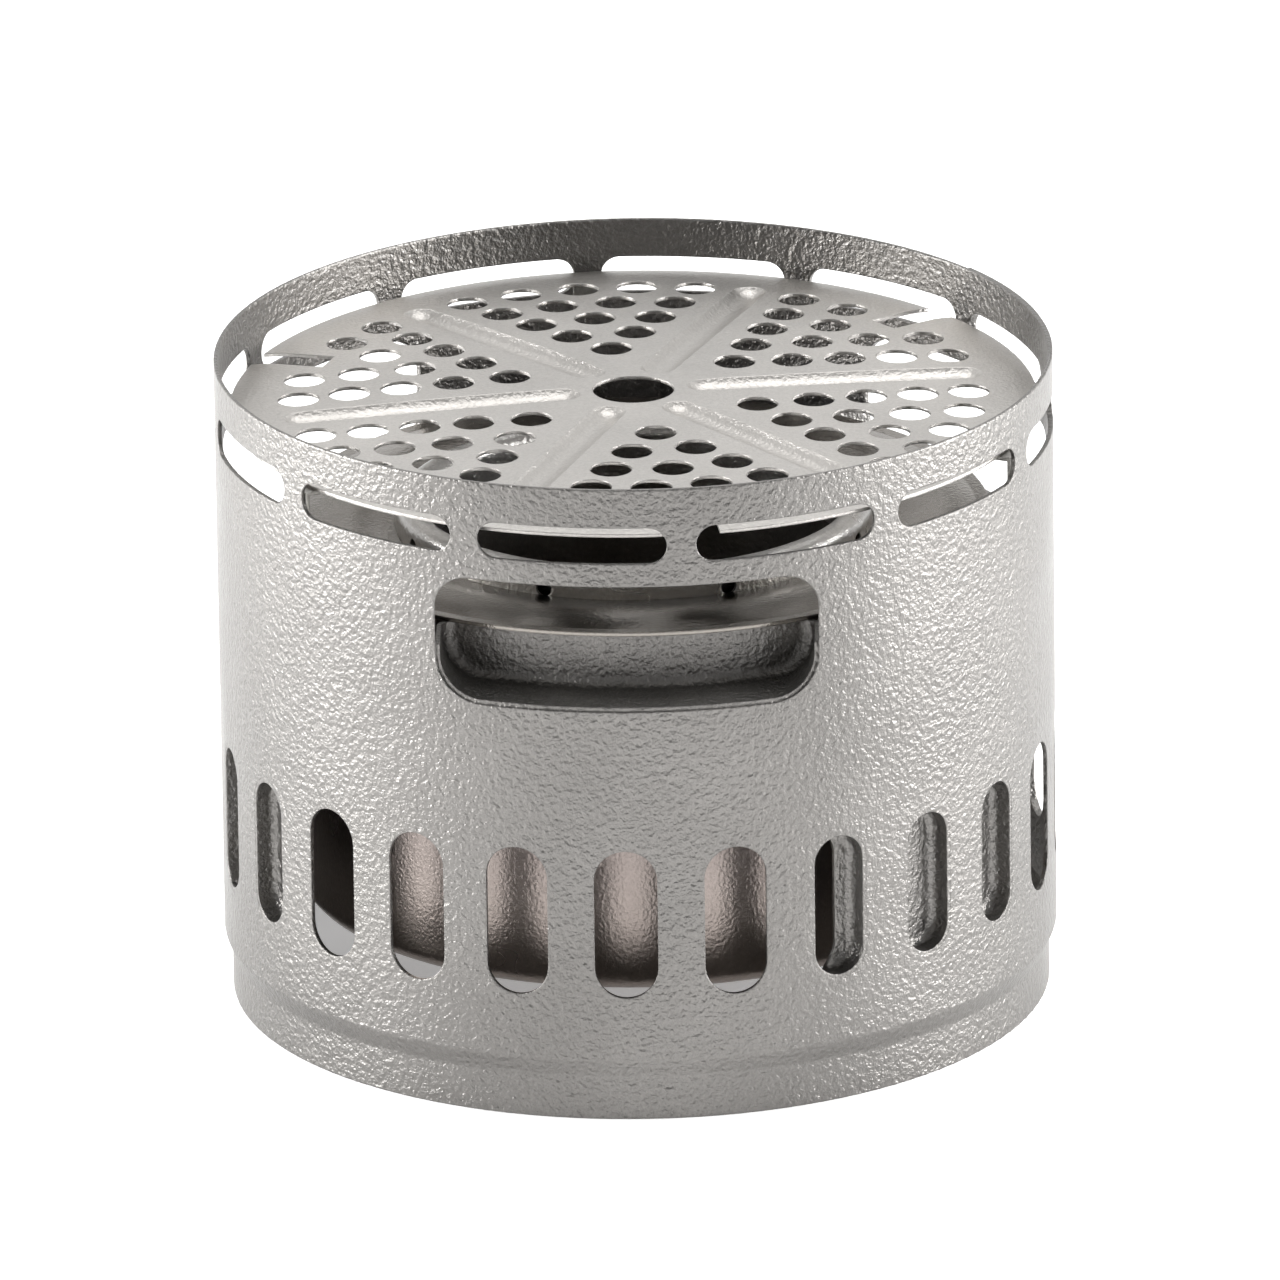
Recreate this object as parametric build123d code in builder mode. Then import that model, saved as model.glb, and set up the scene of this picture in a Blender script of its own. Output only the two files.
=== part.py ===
"""Lightweight spirit stove: vented windshield, perforated top plate and jet burner.

Millimetres, +Z up. The origin is the centre of the foot the stove stands on.
Azimuth is measured from the front (-Y) and grows towards the right (+X).
"""
from build123d import *
import math
import os

os.makedirs("parts", exist_ok=True)

# ---------------------------------------------------------------- sheet stock
SHEET = 0.5
PLATE_SHEET = 0.4
FIT = 0.02
EDGE_ROUND = 0.2
BEYOND = 1.0
TURN = 360.0
QUARTER = 90.0

# ---------------------------------------------------------------- windshield
WALL_R = 48.0
WALL_H = 76.0
FOOT_R = 47.1
FOOT_H = 5.2
STEP_TOP = 7.4
STEP_ROUND = 1.2
CUT_DEPTH = 12.0
CUT_START_R = 52.0
CUT_BLOCK = 4 * WALL_R

SLOT_COUNT = 12
SLOT_LENGTH = 21.6
SLOT_HEIGHT = 4.3
SLOT_Z = 69.25
SLOT_FIRST = -8.8

VENT_COUNT = 24
VENT_WIDTH = 7.2
VENT_HEIGHT = 17.7
VENT_Z = 23.85
VENT_FIRST = -2.0

WINDOW_COUNT = 3
WINDOW_FIRST = -1.5
WINDOW_WIDTH = 43.3
WINDOW_BOTTOM = 49.4
WINDOW_TOP = 64.4
WINDOW_TOP_ROUND = 4.0
WINDOW_BOTTOM_ROUND = 5.2

POCKET_R = 40.4
POCKET_LIP_Z = 55.9
POCKET_BEND = 1.2

BLIND_AZIMUTHS = [43.0, 58.0]
DISH_DEPTH = 3.1
DISH_BEND = 1.0
PIERCED_AZIMUTH = 28.0
PIERCE_SHIFT = 2.8
PIERCE_START_R = 47.1

SEAM_AZIMUTH = 125.0
SEAM_TAPER = 40.0
SEAM_RISE = 0.25

# ---------------------------------------------------------------- rest lugs
LUG_FIRST = 66.3
LUG_WIDTH = 3.4
LUG_TOP = 69.65
LUG_LEG = 5.5
LUG_REACH_R = 44.9

# ---------------------------------------------------------------- top plate
PLATE_TOP = 71.4
PLATE_KNEE_R = 42.0
PLATE_KNEE_Z = 70.55
PLATE_R = 46.2
PLATE_RIM_Z = 70.1
PLATE_ROLL = 0.1
PLATE_CUT = 12.0
PLATE_BORE = 9.35
RIB_COUNT = 6
RIB_FIRST = 39.4
RIB_INNER = 6.2
RIB_OUTER = 40.6
RIB_WIDTH = 4.0
RIB_DEPTH = 0.9
HOLE_D = 4.8
HOLE_FIRST = 15.1
HOLE_ROW_PITCH = 5.81
HOLE_STEPS = [0.0, 20.3, 15.1, 12.1, 10.2]
NOTCH_WIDTH = 4.0
NOTCH_INNER = 37.4
NOTCH_FIRST = RIB_FIRST - TURN / RIB_COUNT / 2

# ---------------------------------------------------------------- burner
CUP_R = 39.2
CUP_BOTTOM = 12.4
CUP_TOP = 55.7
CUP_ROUND = 2.0
SHOULDER_Z = 55.6
SHOULDER_CREST_R = 33.0
SHOULDER_CREST_Z = 56.5
SHOULDER_EDGE_R = 39.3
SHOULDER_EDGE_Z = 56.3
SHOULDER_R = 40.8
FLANGE_TOP = 56.4
SKIRT_FOOT = 49.5
SKIRT_TOP = 55.8
NECK_R = 27.5
MOUTH_R = 24.2
NECK_TOP = 59.0
NECK_FOOT = 51.5
JET_COUNT = 8
JET_FIRST = 22.5
JET_D = 1.9
JET_Z = 56.35
FEED_COUNT = 4
FEED_R = 2.5
LINER_LAP = 4.0


def azimuth_plane(azimuth, radius, height):
    """Plane on the wall at this azimuth; its normal points straight outwards."""
    angle = math.radians(azimuth)
    outward = (math.sin(angle), -math.cos(angle), 0)
    origin = (radius * outward[0], radius * outward[1], height)
    tangent = (math.cos(angle), math.sin(angle), 0)
    return Plane(origin=origin, x_dir=tangent, z_dir=outward)


def thirds(first):
    """Three azimuths a third of a turn apart."""
    return [first + turn * TURN / WINDOW_COUNT for turn in range(WINDOW_COUNT)]


def slot_cutter(azimuth):
    """Long horizontal air slot under the rim."""
    with BuildPart(mode=Mode.PRIVATE) as cutter:
        with BuildSketch(azimuth_plane(azimuth, CUT_START_R, SLOT_Z)):
            SlotOverall(SLOT_LENGTH, SLOT_HEIGHT)
        extrude(amount=-CUT_DEPTH)
    return cutter.part


def vent_cutter(azimuth):
    """Upright air vent near the foot."""
    with BuildPart(mode=Mode.PRIVATE) as cutter:
        with BuildSketch(azimuth_plane(azimuth, CUT_START_R, VENT_Z)):
            SlotOverall(VENT_HEIGHT, VENT_WIDTH, rotation=QUARTER)
        extrude(amount=-CUT_DEPTH)
    return cutter.part


def window_outline(inset, top, top_round):
    """Window outline drawn from its foot, with a wider bend at the bottom corners."""
    half = WINDOW_WIDTH / 2 - inset
    low = WINDOW_BOTTOM + inset
    with BuildSketch(mode=Mode.PRIVATE) as outline:
        with BuildLine():
            Polyline((-half, low), (half, low), (half, top), (-half, top), close=True)
        make_face()
        fillet(outline.vertices().sort_by(Axis.Y)[:2], WINDOW_BOTTOM_ROUND - inset)
        if top_round > 0:
            fillet(outline.vertices().sort_by(Axis.Y)[-2:], top_round)
    return outline.sketch


def window_cutter(azimuth):
    """Whole window opening in the wall."""
    with BuildPart(mode=Mode.PRIVATE) as cutter:
        with BuildSketch(azimuth_plane(azimuth, CUT_START_R, 0)):
            add(window_outline(0, WINDOW_TOP, WINDOW_TOP_ROUND))
        extrude(amount=-CUT_DEPTH)
    return cutter.part


def pocket_block(azimuth, inset, reach_r, outer_r, bend):
    """Solid block of the pressed pocket, from the wall in to reach_r."""
    depth = outer_r + FIT
    with BuildPart(mode=Mode.PRIVATE) as block:
        with BuildSketch(azimuth_plane(azimuth, outer_r, 0)):
            add(window_outline(inset, POCKET_LIP_Z + bend, 0))
        extrude(amount=-depth / 2)
        Cylinder(reach_r, 2 * WALL_H, mode=Mode.SUBTRACT)
        curved = block.faces().filter_by(GeomType.CYLINDER)
        panel = curved.sort_by(lambda face: math.hypot(face.center().X, face.center().Y))[0]
        rim = [edge for edge in panel.edges() if edge.center().Z < POCKET_LIP_Z + bend / 2]
        fillet(rim, bend)
        Cylinder(outer_r, 2 * WALL_H, mode=Mode.INTERSECT)
        cap = Box(CUT_BLOCK, CUT_BLOCK, WALL_H, mode=Mode.PRIVATE)
        add(Pos(0, 0, POCKET_LIP_Z + WALL_H / 2) * cap, mode=Mode.SUBTRACT)
    return block.part


def pocket_shell(azimuth):
    """Pressed pocket: a curved panel with rounded side and bottom walls, open at the top."""
    outer = pocket_block(azimuth, 0, POCKET_R - SHEET, WALL_R - SHEET / 2, POCKET_BEND + SHEET)
    inner = pocket_block(azimuth, SHEET, POCKET_R, WALL_R + SHEET, POCKET_BEND)
    return outer - inner


def dish_block(azimuth, inset, start_r, depth, bend):
    """Upright obround block reaching inwards from start_r."""
    with BuildPart(mode=Mode.PRIVATE) as block:
        with BuildSketch(azimuth_plane(azimuth, start_r, VENT_Z)):
            SlotOverall(VENT_HEIGHT - 2 * inset, VENT_WIDTH - 2 * inset, rotation=QUARTER)
        extrude(amount=-depth)
        if bend > 0:
            plane = azimuth_plane(azimuth, start_r - depth, VENT_Z)
            deep = block.faces().sort_by(lambda face: abs(plane.to_local_coords(face.center()).Z))[0]
            fillet(deep.edges(), bend)
    return block.part


def pressed_dish(azimuth):
    """Vent pressed inwards and left closed; its rim runs flush into the wall."""
    outer = dish_block(azimuth, 0, WALL_R + BEYOND, DISH_DEPTH + BEYOND, DISH_BEND + SHEET)
    inner = dish_block(azimuth, SHEET, WALL_R + 2 * BEYOND, DISH_DEPTH + 2 * BEYOND - SHEET, DISH_BEND)
    return (outer - inner) & Cylinder(WALL_R - FIT, 2 * WALL_H, mode=Mode.PRIVATE)


def pierced_dish(azimuth):
    """Pressed vent with its near wall and most of its floor cut away."""
    with BuildPart(mode=Mode.PRIVATE) as cutter:
        with BuildSketch(azimuth_plane(azimuth, PIERCE_START_R, VENT_Z)):
            with Locations((-PIERCE_SHIFT, 0)):
                SlotOverall(VENT_HEIGHT, VENT_WIDTH, rotation=QUARTER)
        extrude(amount=-CUT_DEPTH)
    return pressed_dish(azimuth) - cutter.part


# ---------------------------------------------------------------- seam lap
with BuildPart() as lap:
    drift = SHEET / (1 - math.cos(math.radians(SEAM_TAPER)))
    with BuildSketch(Plane.XY.offset(STEP_TOP + SHEET)):
        Circle(WALL_R - SHEET / 2)
        with Locations((-drift, 0)):
            Circle(WALL_R - 2 * SHEET + drift, mode=Mode.SUBTRACT)
    extrude(amount=WALL_H + SEAM_RISE - STEP_TOP - SHEET)
    far_half = Box(CUT_BLOCK, CUT_BLOCK, CUT_BLOCK, mode=Mode.PRIVATE)
    add(Pos(0, CUT_BLOCK / 2, 0) * far_half, mode=Mode.SUBTRACT)

lap_crescent = Rot(0, 0, SEAM_AZIMUTH - QUARTER) * lap.part

# ---------------------------------------------------------------- windshield
with BuildPart() as windshield:
    with BuildSketch(Plane.XZ) as wall_profile:
        with BuildLine():
            Polyline(
                (FOOT_R, 0),
                (FOOT_R, FOOT_H),
                (WALL_R, STEP_TOP),
                (WALL_R, WALL_H),
                (WALL_R - SHEET, WALL_H),
                (WALL_R - SHEET, STEP_TOP + FIT),
                (FOOT_R - SHEET, FOOT_H + FIT),
                (FOOT_R - SHEET, 0),
                close=True,
            )
        make_face()
        bends = [v for v in wall_profile.vertices() if BEYOND < v.Y < WALL_H - BEYOND]
        fillet(bends, STEP_ROUND)
        ends = [v for v in wall_profile.vertices() if v.Y < EDGE_ROUND or v.Y > WALL_H - EDGE_ROUND]
        fillet(ends, EDGE_ROUND)
    revolve(axis=Axis.Z)
    add(lap_crescent)
    for index in range(VENT_COUNT):
        add(vent_cutter(VENT_FIRST + index * TURN / VENT_COUNT), mode=Mode.SUBTRACT)
    for index in range(SLOT_COUNT):
        add(slot_cutter(SLOT_FIRST + index * TURN / SLOT_COUNT), mode=Mode.SUBTRACT)
    for azimuth in thirds(WINDOW_FIRST):
        add(window_cutter(azimuth), mode=Mode.SUBTRACT)
        add(pocket_shell(azimuth))
    for first in BLIND_AZIMUTHS:
        for azimuth in thirds(first):
            add(pressed_dish(azimuth))
    for azimuth in thirds(PIERCED_AZIMUTH):
        add(pierced_dish(azimuth))

windshield.part.label = "windshield"
export_step(windshield.part, "parts/windshield.step")

# ---------------------------------------------------------------- plate rest lugs
wall_face = WALL_R - SHEET - FIT
leg_length = wall_face - LUG_REACH_R
for number, azimuth in enumerate(thirds(LUG_FIRST), start=1):
    with BuildPart() as plate_rest_lug:
        turn = Rot(0, 0, azimuth - QUARTER)
        foot = Box(SHEET, LUG_WIDTH, LUG_LEG, mode=Mode.PRIVATE)
        leg = Box(leg_length, LUG_WIDTH, SHEET, mode=Mode.PRIVATE)
        add(turn * Pos(wall_face - SHEET / 2 - FIT, 0, LUG_TOP - LUG_LEG / 2) * foot)
        add(turn * Pos(wall_face - leg_length / 2 - FIT, 0, LUG_TOP - SHEET / 2) * leg)
    plate_rest_lug.part.label = f"plate_rest_lug_{number}"
    export_step(plate_rest_lug.part, f"parts/plate_rest_lug_{number}.step")


def dome_z(radius):
    """Height of the plate's upper face at this radius."""
    drop = PLATE_TOP - PLATE_KNEE_Z
    dome_r = (PLATE_KNEE_R**2 + drop**2) / (2 * drop)
    return PLATE_TOP - dome_r + math.sqrt(dome_r**2 - radius**2)


def plate_face_line(shift):
    """Meridian of the plate from the centre to the rim, lowered by shift."""
    half_r = PLATE_KNEE_R / 2
    roll_r = (PLATE_KNEE_R + PLATE_R) / 2
    roll_z = (PLATE_KNEE_Z + PLATE_RIM_Z) / 2 + PLATE_ROLL
    knee = (PLATE_KNEE_R, PLATE_KNEE_Z - shift)
    ThreePointArc((0, PLATE_TOP - shift), (half_r, dome_z(half_r) - shift), knee)
    ThreePointArc(knee, (roll_r, roll_z - shift), (PLATE_R, PLATE_RIM_Z - shift))


def plate_region(other_z, shift):
    """Solid of revolution between the plate's face and a level, or a second parallel face."""
    with BuildPart(mode=Mode.PRIVATE) as region:
        with BuildSketch(Plane.XZ):
            with BuildLine():
                plate_face_line(0)
                if shift > 0:
                    plate_face_line(shift)
                    Line((PLATE_R, PLATE_RIM_Z), (PLATE_R, PLATE_RIM_Z - shift))
                    Line((0, PLATE_TOP), (0, PLATE_TOP - shift))
                else:
                    Line((PLATE_R, PLATE_RIM_Z), (PLATE_R, other_z))
                    Line((PLATE_R, other_z), (0, other_z))
                    Line((0, other_z), (0, PLATE_TOP))
            make_face()
        revolve(axis=Axis.Z)
    return region.part


def rib_capsule(azimuth, radius):
    """Round-ended bar lying along a rib; cutting or adding it presses the groove."""
    half_width = RIB_WIDTH / 2
    groove_r = (half_width**2 + RIB_DEPTH**2) / (2 * RIB_DEPTH)
    near_r = RIB_INNER + half_width
    far_r = RIB_OUTER - half_width
    near = Vector(near_r, 0, dome_z(near_r) - RIB_DEPTH + groove_r)
    far = Vector(far_r, 0, dome_z(far_r) - RIB_DEPTH + groove_r)
    ball = Sphere(radius, mode=Mode.PRIVATE)
    bar = Cylinder(radius, (far - near).length, mode=Mode.PRIVATE)
    middle = Plane(origin=(near + far) / 2, z_dir=far - near) * bar
    return Rot(0, 0, azimuth - QUARTER) * (Pos(near) * ball + Pos(far) * ball + middle)


# ---------------------------------------------------------------- perforated plate
with BuildPart() as perforated_plate:
    groove = ((RIB_WIDTH / 2) ** 2 + RIB_DEPTH**2) / (2 * RIB_DEPTH)
    add(plate_region(0, PLATE_SHEET))
    above = plate_region(PLATE_TOP + WALL_H, 0)
    for index in range(RIB_COUNT):
        azimuth = RIB_FIRST + index * TURN / RIB_COUNT
        add(rib_capsule(azimuth, groove + PLATE_SHEET) - above)
    for index in range(RIB_COUNT):
        azimuth = RIB_FIRST + index * TURN / RIB_COUNT
        add(rib_capsule(azimuth, groove), mode=Mode.SUBTRACT)
    with BuildSketch(Plane.XY.offset(PLATE_TOP + BEYOND)):
        Circle(PLATE_BORE / 2)
        for index in range(RIB_COUNT):
            axis_angle = RIB_FIRST + (index + 0.5) * TURN / RIB_COUNT - QUARTER
            notched = index % 2 == 1
            for row, step in enumerate(HOLE_STEPS):
                hole_r = HOLE_FIRST + row * HOLE_ROW_PITCH
                for place in range(row + 1):
                    if notched and row == len(HOLE_STEPS) - 1 and place == row // 2:
                        continue
                    swing = (place - row / 2) * step
                    with Locations(Rot(0, 0, axis_angle + swing) * Pos(hole_r, 0, 0)):
                        Circle(HOLE_D / 2)
    extrude(amount=-PLATE_CUT, mode=Mode.SUBTRACT)
    for azimuth in thirds(NOTCH_FIRST):
        length = 2 * (PLATE_R - NOTCH_INNER)
        notch = Box(length, NOTCH_WIDTH, PLATE_CUT, mode=Mode.PRIVATE)
        place = Rot(0, 0, azimuth - QUARTER) * Pos(NOTCH_INNER + length / 2, 0, PLATE_TOP)
        add(place * notch, mode=Mode.SUBTRACT)

perforated_plate.part.label = "perforated_plate"
export_step(perforated_plate.part, "parts/perforated_plate.step")

# ---------------------------------------------------------------- burner cup
with BuildPart() as burner_cup:
    with BuildSketch(Plane.XZ) as cup_profile:
        with BuildLine():
            Polyline(
                (0, CUP_BOTTOM),
                (CUP_R, CUP_BOTTOM),
                (CUP_R, CUP_TOP),
                (CUP_R - SHEET, CUP_TOP),
                (CUP_R - SHEET, CUP_BOTTOM + SHEET),
                (0, CUP_BOTTOM + SHEET),
                close=True,
            )
        make_face()
        corners = [v for v in cup_profile.vertices() if v.X > BEYOND]
        inner_corner = [v for v in corners if abs(v.Y - CUP_BOTTOM - SHEET) < FIT]
        fillet(inner_corner, CUP_ROUND - SHEET)
        outer_corner = [v for v in cup_profile.vertices() if v.X > BEYOND and abs(v.Y - CUP_BOTTOM) < FIT]
        fillet(outer_corner, CUP_ROUND)
    revolve(axis=Axis.Z)

burner_cup.part.label = "burner_cup"
export_step(burner_cup.part, "parts/burner_cup.step")

# ---------------------------------------------------------------- burner shoulder
with BuildPart() as burner_shoulder:
    inner_x = NECK_R + FIT
    skirt_r = CUP_R - SHEET - FIT
    seat_z = POCKET_LIP_Z + FIT
    with BuildSketch(Plane.XZ):
        with BuildLine():
            ThreePointArc(
                (inner_x, SHOULDER_Z),
                (SHOULDER_CREST_R, SHOULDER_CREST_Z),
                (SHOULDER_EDGE_R, SHOULDER_EDGE_Z),
            )
            Line((SHOULDER_EDGE_R, SHOULDER_EDGE_Z), (SHOULDER_R, FLANGE_TOP))
            Line((SHOULDER_R, FLANGE_TOP), (SHOULDER_R, seat_z))
            Line((SHOULDER_R, seat_z), (skirt_r, seat_z))
            Line((skirt_r, seat_z), (skirt_r, SKIRT_FOOT))
            Line((skirt_r, SKIRT_FOOT), (skirt_r - SHEET, SKIRT_FOOT))
            Line((skirt_r - SHEET, SKIRT_FOOT), (skirt_r - SHEET, SKIRT_TOP))
            ThreePointArc(
                (skirt_r - SHEET, SKIRT_TOP),
                (SHOULDER_CREST_R, SHOULDER_CREST_Z - SHEET),
                (inner_x, SHOULDER_Z - SHEET),
            )
            Line((inner_x, SHOULDER_Z - SHEET), (inner_x, SHOULDER_Z))
        make_face()
    revolve(axis=Axis.Z)

burner_shoulder.part.label = "burner_shoulder"
export_step(burner_shoulder.part, "parts/burner_shoulder.step")

# ---------------------------------------------------------------- burner jet crown
with BuildPart() as burner_jet_crown:
    roll_r = (NECK_R - MOUTH_R) / 2
    roll_x = (NECK_R + MOUTH_R) / 2
    roll_z = NECK_TOP - roll_r
    with BuildSketch(Plane.XZ):
        with BuildLine():
            Line((NECK_R, NECK_FOOT), (NECK_R, roll_z))
            ThreePointArc((NECK_R, roll_z), (roll_x, NECK_TOP), (MOUTH_R, roll_z))
            Line((MOUTH_R, roll_z), (MOUTH_R, NECK_FOOT))
            Line((MOUTH_R, NECK_FOOT), (MOUTH_R + SHEET, NECK_FOOT))
            Line((MOUTH_R + SHEET, NECK_FOOT), (MOUTH_R + SHEET, roll_z))
            ThreePointArc((MOUTH_R + SHEET, roll_z), (roll_x, NECK_TOP - SHEET), (NECK_R - SHEET, roll_z))
            Line((NECK_R - SHEET, roll_z), (NECK_R - SHEET, NECK_FOOT))
            Line((NECK_R - SHEET, NECK_FOOT), (NECK_R, NECK_FOOT))
        make_face()
    revolve(axis=Axis.Z)
    for index in range(JET_COUNT):
        azimuth = JET_FIRST + index * TURN / JET_COUNT
        with BuildSketch(azimuth_plane(azimuth, NECK_R + BEYOND, JET_Z)):
            Circle(JET_D / 2)
        extrude(amount=-(BEYOND + 2 * SHEET), mode=Mode.SUBTRACT)

burner_jet_crown.part.label = "burner_jet_crown"
export_step(burner_jet_crown.part, "parts/burner_jet_crown.step")

# ---------------------------------------------------------------- burner liner
with BuildPart() as burner_liner:
    liner_inner = MOUTH_R + SHEET + FIT
    liner_outer = liner_inner + SHEET
    liner_foot = CUP_BOTTOM + SHEET + FIT
    liner_top = NECK_FOOT + LINER_LAP
    with BuildSketch(Plane.XY.offset(liner_foot)):
        Circle(liner_outer)
        Circle(liner_inner, mode=Mode.SUBTRACT)
    extrude(amount=liner_top - liner_foot)
    for index in range(FEED_COUNT):
        azimuth = index * TURN / FEED_COUNT
        with BuildSketch(azimuth_plane(azimuth, liner_outer + BEYOND, liner_foot)):
            Circle(FEED_R)
        extrude(amount=-(BEYOND + 3 * SHEET), mode=Mode.SUBTRACT)

burner_liner.part.label = "burner_liner"
export_step(burner_liner.part, "parts/burner_liner.step")
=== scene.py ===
import math

import bpy
from mathutils import Matrix, Vector


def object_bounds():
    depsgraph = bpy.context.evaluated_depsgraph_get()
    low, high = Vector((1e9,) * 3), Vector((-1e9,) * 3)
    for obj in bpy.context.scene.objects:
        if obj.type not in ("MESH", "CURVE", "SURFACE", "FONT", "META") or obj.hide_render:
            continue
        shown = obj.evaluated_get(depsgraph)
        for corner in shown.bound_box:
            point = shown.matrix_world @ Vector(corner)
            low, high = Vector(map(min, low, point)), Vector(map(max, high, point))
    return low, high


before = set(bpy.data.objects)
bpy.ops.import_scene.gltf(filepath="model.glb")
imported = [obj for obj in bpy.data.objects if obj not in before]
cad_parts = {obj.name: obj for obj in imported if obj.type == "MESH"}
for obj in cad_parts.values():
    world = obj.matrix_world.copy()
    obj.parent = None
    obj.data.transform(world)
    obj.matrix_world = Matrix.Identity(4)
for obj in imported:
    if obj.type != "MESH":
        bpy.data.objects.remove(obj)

CAD_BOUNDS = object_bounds()

MM = 0.001
SOFT_EDGE = 0.25

# ------------------------------------------------------------------ materials


def new_material(name):
    """Empty node material and its output node."""
    material = bpy.data.materials.new(name)
    material.use_nodes = True
    tree = material.node_tree
    tree.nodes.clear()
    output = tree.nodes.new("ShaderNodeOutputMaterial")
    return material, tree, output


def noise(tree, vector, scale, detail, rough=0.5):
    """Noise texture on the given coordinates."""
    node = tree.nodes.new("ShaderNodeTexNoise")
    node.inputs["Scale"].default_value = scale
    node.inputs["Detail"].default_value = detail
    node.inputs["Roughness"].default_value = rough
    tree.links.new(vector, node.inputs["Vector"])
    return node.outputs["Fac"]


def ramp(tree, factor, stops):
    """Colour ramp over a factor; stops are (position, colour)."""
    node = tree.nodes.new("ShaderNodeValToRGB")
    elements = node.color_ramp.elements
    elements[0].position, elements[0].color = stops[0]
    elements[1].position, elements[1].color = stops[-1]
    for position, colour in stops[1:-1]:
        element = elements.new(position)
        element.color = colour
    tree.links.new(factor, node.inputs["Fac"])
    return node.outputs["Color"]


def multiply(tree, one, two, amount):
    """Two colours multiplied."""
    node = tree.nodes.new("ShaderNodeMix")
    node.data_type = "RGBA"
    node.blend_type = "MULTIPLY"
    node.inputs["Factor"].default_value = amount
    tree.links.new(one, node.inputs["A"])
    tree.links.new(two, node.inputs["B"])
    return node.outputs["Result"]


def grey(value):
    """Opaque grey of this value."""
    return (value, value, value, 1.0)


def scaled(colour, factor):
    """Opaque colour made lighter or darker by a factor."""
    return tuple(factor * channel for channel in colour) + (1,)


def titanium(name, base, rough, grain, strength, tint=None, brushed=0.0):
    """Titanium sheet: blasted or brushed grain, cloudy tone, softened edges."""
    material, tree, output = new_material(name)
    shader = tree.nodes.new("ShaderNodeBsdfPrincipled")
    shader.inputs["Metallic"].default_value = 1.0
    coords = tree.nodes.new("ShaderNodeTexCoord").outputs["Object"]

    cloud = noise(tree, coords, 38.0, 4.0)
    speck = noise(tree, coords, 2600.0, 3.0, 0.7)
    tone = ramp(tree, cloud, [(0.3, scaled(base, 0.9)), (0.7, scaled(base, 1.06))])
    fleck = ramp(tree, speck, [(0.35, grey(0.82)), (0.65, grey(1.0))])
    colour = multiply(tree, tone, fleck, 0.75)
    # optional colour ramp over object height, multiplied into the colour
    if tint is not None:
        height = tree.nodes.new("ShaderNodeSeparateXYZ")
        tree.links.new(coords, height.inputs["Vector"])
        band = tree.nodes.new("ShaderNodeMapRange")
        band.inputs["From Min"].default_value = tint[0]
        band.inputs["From Max"].default_value = tint[1]
        tree.links.new(height.outputs["Z"], band.inputs["Value"])
        height_ramp = ramp(tree, band.outputs["Result"], tint[2])
        colour = multiply(tree, colour, height_ramp, 1.0)
    tree.links.new(colour, shader.inputs["Base Color"])

    patch = noise(tree, coords, 90.0, 3.0)
    roughness = ramp(tree, patch, [(0.3, grey(rough * 0.88)), (0.7, grey(min(1.0, rough * 1.12)))])
    tree.links.new(roughness, shader.inputs["Roughness"])

    soften = tree.nodes.new("ShaderNodeBevel")
    soften.samples = 4
    soften.inputs["Radius"].default_value = SOFT_EDGE * MM
    coarse = noise(tree, coords, grain, 2.5, 0.55)
    lumps = tree.nodes.new("ShaderNodeBump")
    lumps.inputs["Strength"].default_value = strength
    lumps.inputs["Distance"].default_value = 0.3 * MM
    tree.links.new(coarse, lumps.inputs["Height"])
    tree.links.new(soften.outputs["Normal"], lumps.inputs["Normal"])
    fine = tree.nodes.new("ShaderNodeBump")
    fine.inputs["Strength"].default_value = 0.35 * strength
    fine.inputs["Distance"].default_value = 0.02 * MM
    tree.links.new(speck, fine.inputs["Height"])
    tree.links.new(lumps.outputs["Normal"], fine.inputs["Normal"])
    last = fine
    if brushed > 0:
        stretch = tree.nodes.new("ShaderNodeMapping")
        stretch.inputs["Scale"].default_value = (1.0, 1.0, 0.03)
        tree.links.new(coords, stretch.inputs["Vector"])
        lines = noise(tree, stretch.outputs["Vector"], 3500.0, 2.0)
        scratch = tree.nodes.new("ShaderNodeBump")
        scratch.inputs["Strength"].default_value = brushed
        scratch.inputs["Distance"].default_value = 0.03 * MM
        tree.links.new(lines, scratch.inputs["Height"])
        tree.links.new(fine.outputs["Normal"], scratch.inputs["Normal"])
        last = scratch
    tree.links.new(last.outputs["Normal"], shader.inputs["Normal"])
    tree.links.new(shader.outputs["BSDF"], output.inputs["Surface"])
    return material


WALL = (0.225, 0.217, 0.207)
wall = titanium("blasted_wall", WALL, 0.38, 1500.0, 0.9)
plate = titanium("blasted_plate", (0.53, 0.51, 0.485), 0.36, 2300.0, 0.35)
lugs = titanium("satin_lugs", (0.34, 0.33, 0.31), 0.4, 1800.0, 0.4)
# cup: warm tint that gets darker towards the top of the cup
darker_top_stops = [(0.0, (1.0, 0.93, 0.88, 1)), (0.4, (0.86, 0.8, 0.78, 1)), (1.0, (0.8, 0.74, 0.7, 1))]
cup_tint = (0.012, 0.055, darker_top_stops)
cup = titanium("satin_cup", (0.34, 0.315, 0.30), 0.3, 2600.0, 0.25, tint=cup_tint, brushed=0.35)
shoulder = titanium("polished_shoulder", (0.28, 0.26, 0.235), 0.16, 2200.0, 0.18, brushed=0.1)
crown = titanium("blasted_crown", (0.6, 0.585, 0.565), 0.3, 1900.0, 0.4)
liner = titanium("satin_liner", (0.33, 0.31, 0.29), 0.35, 2200.0, 0.3, brushed=0.3)

DRESS = {
    "windshield": wall,
    "plate_rest_lug_1": lugs,
    "plate_rest_lug_2": lugs,
    "plate_rest_lug_3": lugs,
    "perforated_plate": plate,
    "burner_cup": cup,
    "burner_shoulder": shoulder,
    "burner_jet_crown": crown,
    "burner_liner": liner,
}
for node_name, material in DRESS.items():
    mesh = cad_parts[node_name].data
    if not mesh.materials:
        mesh.materials.append(material)
    for index in range(len(mesh.materials)):
        mesh.materials[index] = material

# ------------------------------------------------------------------ floor and light


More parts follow.
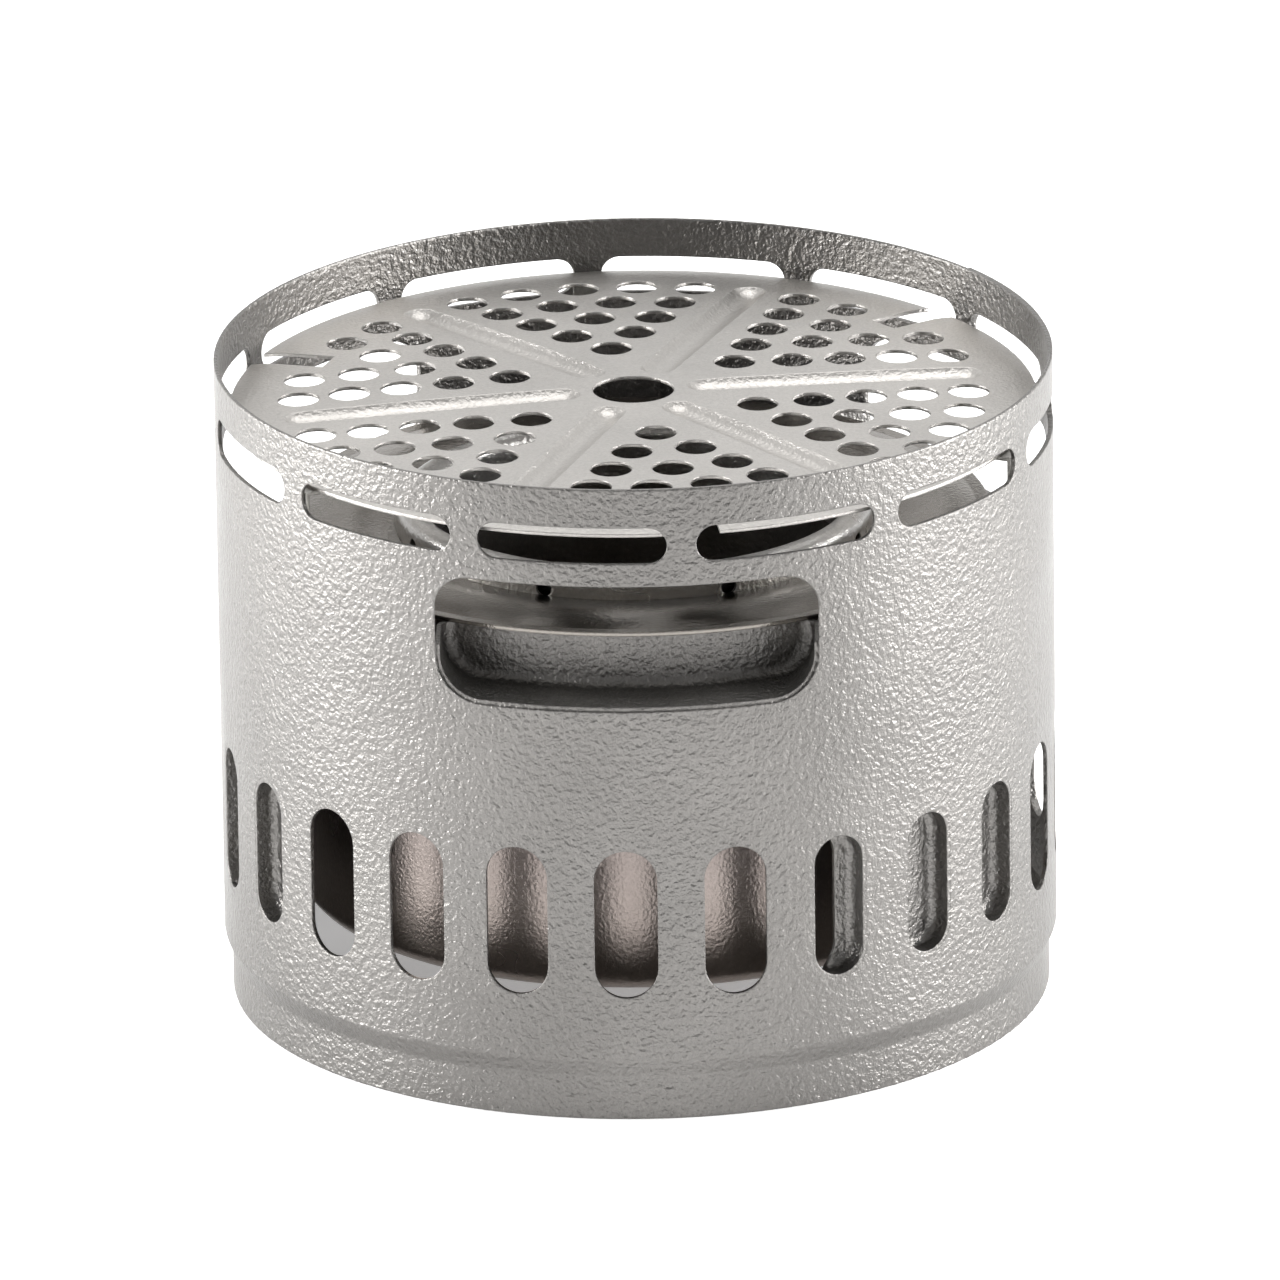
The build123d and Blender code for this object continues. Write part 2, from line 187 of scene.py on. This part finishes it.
def floor_material():
    """Pale matt sweep with a faint grain."""
    material, tree, output = new_material("pale_floor")
    shader = tree.nodes.new("ShaderNodeBsdfPrincipled")
    coords = tree.nodes.new("ShaderNodeTexCoord").outputs["Object"]
    tone = ramp(tree, noise(tree, coords, 25.0, 3.0), [(0.3, grey(0.93)), (0.7, grey(0.95))])
    tree.links.new(tone, shader.inputs["Base Color"])
    shader.inputs["Roughness"].default_value = 0.9
    shader.inputs["Specular IOR Level"].default_value = 0.1
    shader.inputs["Emission Color"].default_value = (1.0, 1.0, 1.0, 1.0)
    shader.inputs["Emission Strength"].default_value = 0.3
    tree.links.new(shader.outputs["BSDF"], output.inputs["Surface"])
    return material


low, high = CAD_BOUNDS
bpy.ops.mesh.primitive_plane_add(size=12.0, location=(0, 0, low[2]))
floor = bpy.context.object
floor.name = "floor"
floor.data.materials.append(floor_material())

world = bpy.data.worlds.new("studio")
bpy.context.scene.world = world
bpy.context.scene.view_settings.view_transform = "Standard"
world.use_nodes = True
studio = world.node_tree
studio.nodes.clear()
backdrop = studio.nodes.new("ShaderNodeBackground")
backdrop.inputs["Color"].default_value = (1.0, 1.0, 1.0, 1.0)
backdrop.inputs["Strength"].default_value = 1.1
ambient = studio.nodes.new("ShaderNodeBackground")
around = studio.nodes.new("ShaderNodeSeparateXYZ")
studio.links.new(studio.nodes.new("ShaderNodeTexCoord").outputs["Generated"], around.inputs["Vector"])
spread = studio.nodes.new("ShaderNodeMapRange")
spread.inputs["From Min"].default_value = -0.9
spread.inputs["From Max"].default_value = 0.8
studio.links.new(around.outputs["Y"], spread.inputs["Value"])
room = ramp(studio, spread.outputs["Result"], [(0.0, grey(0.22)), (0.5, grey(0.42)), (1.0, grey(1.0))])
studio.links.new(room, ambient.inputs["Color"])
seen = studio.nodes.new("ShaderNodeLightPath")
chooser = studio.nodes.new("ShaderNodeMixShader")
studio.links.new(seen.outputs["Is Camera Ray"], chooser.inputs["Fac"])
studio.links.new(ambient.outputs["Background"], chooser.inputs[1])
studio.links.new(backdrop.outputs["Background"], chooser.inputs[2])
studio.links.new(chooser.outputs["Shader"], studio.nodes.new("ShaderNodeOutputWorld").inputs["Surface"])


def softbox(name, azimuth, elevation, distance, width, height, power):
    """Large area light aimed at the stove."""
    data = bpy.data.lights.new(name, "AREA")
    data.shape = "RECTANGLE"
    data.size = width
    data.size_y = height
    data.energy = power
    lamp = bpy.data.objects.new(name, data)
    bpy.context.collection.objects.link(lamp)
    a, e = math.radians(azimuth), math.radians(elevation)
    direction = Vector((math.sin(a) * math.cos(e), -math.cos(a) * math.cos(e), math.sin(e)))
    lamp.location = Vector((0, 0, 0.04)) + direction * distance
    lamp.rotation_euler = direction.to_track_quat("Z", "Y").to_euler()
    return lamp


softbox("left_softbox", -88, 14, 0.7, 0.5, 0.5, 10.0)
softbox("right_softbox", 88, 14, 0.7, 0.5, 0.5, 10.0)
softbox("top_softbox", 172, 74, 2.5, 2.0, 2.0, 27.0)

# ------------------------------------------------------------------ camera

ELEVATION = math.radians(19.7)
DISTANCE = 2.5
SPAN = 0.1471
ROLL = math.radians(-0.8)
SENSOR = 36.0

camera_data = bpy.data.cameras.new("camera")
camera_data.sensor_width = SENSOR
camera_data.lens = SENSOR * DISTANCE / SPAN
camera_data.clip_end = 20.0
camera = bpy.data.objects.new("camera", camera_data)
bpy.context.collection.objects.link(camera)
back = Vector((0, -math.cos(ELEVATION), math.sin(ELEVATION)))
right = Vector((1, 0, 0))
up = back.cross(right)
aim = Vector((0, 0, 0.038)) + right * 0.35 * MM + up * 2.75 * MM
camera.rotation_euler = (back.to_track_quat("Z", "Y").to_matrix() @ Matrix.Rotation(ROLL, 3, "Z")).to_euler()
camera.location = aim + back * DISTANCE
bpy.context.scene.camera = camera
